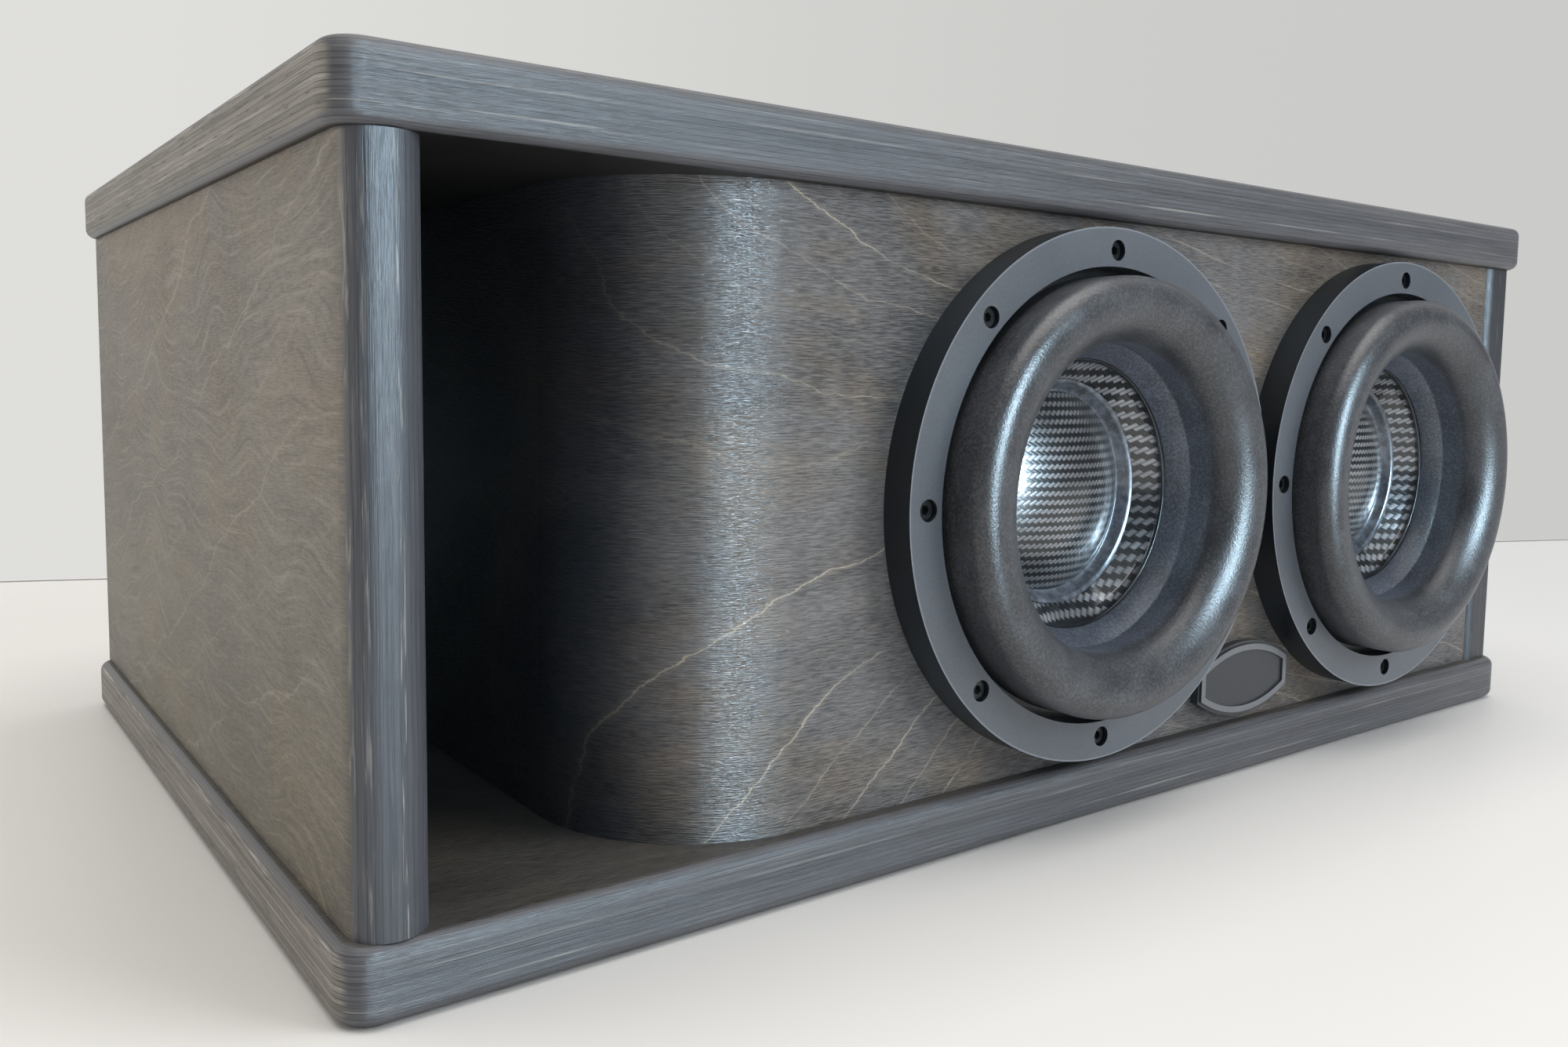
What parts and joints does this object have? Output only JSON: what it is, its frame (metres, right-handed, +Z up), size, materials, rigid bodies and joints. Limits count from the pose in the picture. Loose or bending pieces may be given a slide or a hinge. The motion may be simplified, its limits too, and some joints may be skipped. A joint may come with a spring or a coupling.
{
  "type": "subwoofer cabinet",
  "caption": "Slot-ported plywood subwoofer cabinet with side-by-side long-throw drivers, a baffle that rolls back into the port, and a rear terminal cup.",
  "frame": {"origin": "middle of the footprint at the surface the cabinet stands on", "axes": "+Z up, drivers face -Y, +X to the right seen from the front"},
  "size_m": [0.518, 0.353, 0.21],
  "materials": {
    "plywood_face": "stained charcoal, satin lacquer",
    "brushed_ply": "stained dark grey, fine brushed grain, satin lacquer",
    "badge_metal": "satin grey metal, plain field with a raised rim",
    "anodised_ring": "satin dark grey anodised",
    "black_steel": "black oxide",
    "foam_roll": "dark grey foam with a leathery skin",
    "carbon_fibre": "glossy carbon-fibre twill",
    "coil_former": "anodised former",
    "copper_wire": "enamelled copper wire",
    "spider_cloth": "resin-treated cloth",
    "cast_basket": "black textured casting",
    "gasket_foam": "closed-cell foam",
    "motor_steel": "zinc plated",
    "ferrite": "sintered ferrite",
    "terminal_board": "phenolic board",
    "tinned_copper": "tinned copper",
    "black_plastic": "moulded black plastic",
    "red_plastic": "moulded red plastic",
    "brass": "gold plated brass"
  },
  "bodies": {
    "cabinet": {"top_panel": "plywood_face", "bottom_panel": "plywood_face", "left_side_panel": "plywood_face", "right_side_panel": "plywood_face", "back_panel": "plywood_face", "curved_baffle": "brushed_ply", "port_divider": "brushed_ply", "port_return_panel": "brushed_ply", "badge_plate": "badge_metal", "terminal_cup": "black_plastic", "cup_gasket": "gasket_foam", "cup_screws": "black_steel", "post_nuts": "brass", "solder_lugs": "tinned_copper", "red_post_stud": "brass", "red_post_base": "red_plastic", "red_speaker_wires": "red_plastic", "black_post_stud": "brass", "black_post_base": "black_plastic", "black_speaker_wires": "black_plastic", "left_trim_ring": "anodised_ring", "left_mounting_screws": "black_steel", "left_surround": "foam_roll", "left_spider": "spider_cloth", "left_basket": "cast_basket", "left_basket_gasket": "gasket_foam", "left_top_plate": "motor_steel", "left_magnet": "ferrite", "left_back_plate": "motor_steel", "left_terminal_strip": "terminal_board", "left_tinsel_leads": "tinned_copper", "right_trim_ring": "anodised_ring", "right_mounting_screws": "black_steel", "right_surround": "foam_roll", "right_spider": "spider_cloth", "right_basket": "cast_basket", "right_basket_gasket": "gasket_foam", "right_top_plate": "motor_steel", "right_magnet": "ferrite", "right_back_plate": "motor_steel", "right_terminal_strip": "terminal_board", "right_tinsel_leads": "tinned_copper"},
    "left_cone_assembly": {"left_cone": "carbon_fibre", "left_dust_cap": "carbon_fibre", "left_voice_coil_former": "coil_former", "left_voice_coil_winding": "copper_wire"},
    "right_cone_assembly": {"right_cone": "carbon_fibre", "right_dust_cap": "carbon_fibre", "right_voice_coil_former": "coil_former", "right_voice_coil_winding": "copper_wire"},
    "red_clamp_washer": {"red_post_washer": "brass"},
    "red_screw_cap": {"red_post_cap": "red_plastic"},
    "black_clamp_washer": {"black_post_washer": "brass"},
    "black_screw_cap": {"black_post_cap": "black_plastic"}
  },
  "joints": [
    {"name": "left_cone_stroke", "type": "slide", "parent": "cabinet", "child": "left_cone_assembly", "axis": [0, -1, 0], "range_m": [-0.01, 0.01], "stiffness_N_per_m": 3000, "deforming": ["left_surround", "left_spider", "left_tinsel_leads"]},
    {"name": "right_cone_stroke", "type": "slide", "parent": "cabinet", "child": "right_cone_assembly", "axis": [0, -1, 0], "range_m": [-0.01, 0.01], "stiffness_N_per_m": 3000, "deforming": ["right_surround", "right_spider", "right_tinsel_leads"]},
    {"name": "red_cap_travel", "type": "slide", "parent": "cabinet", "child": "red_clamp_washer", "axis": [0, 1, 0], "range_m": [0, 0.0045]},
    {"name": "red_cap_turn", "type": "hinge", "parent": "red_clamp_washer", "child": "red_screw_cap", "pos_m": [0.17952, 0.1725, 0.105], "axis": [0, 1, 0], "range_deg": [0, 1620]},
    {"name": "black_cap_travel", "type": "slide", "parent": "cabinet", "child": "black_clamp_washer", "axis": [0, 1, 0], "range_m": [0, 0.0045]},
    {"name": "black_cap_turn", "type": "hinge", "parent": "black_clamp_washer", "child": "black_screw_cap", "pos_m": [0.16048, 0.1725, 0.105], "axis": [0, 1, 0], "range_deg": [0, 1620]}
  ],
  "couplings": [
    {"joint": "red_cap_turn", "follows": "red_cap_travel", "rad_per_m": 6282.6},
    {"joint": "black_cap_turn", "follows": "black_cap_travel", "rad_per_m": 6282.6}
  ]
}
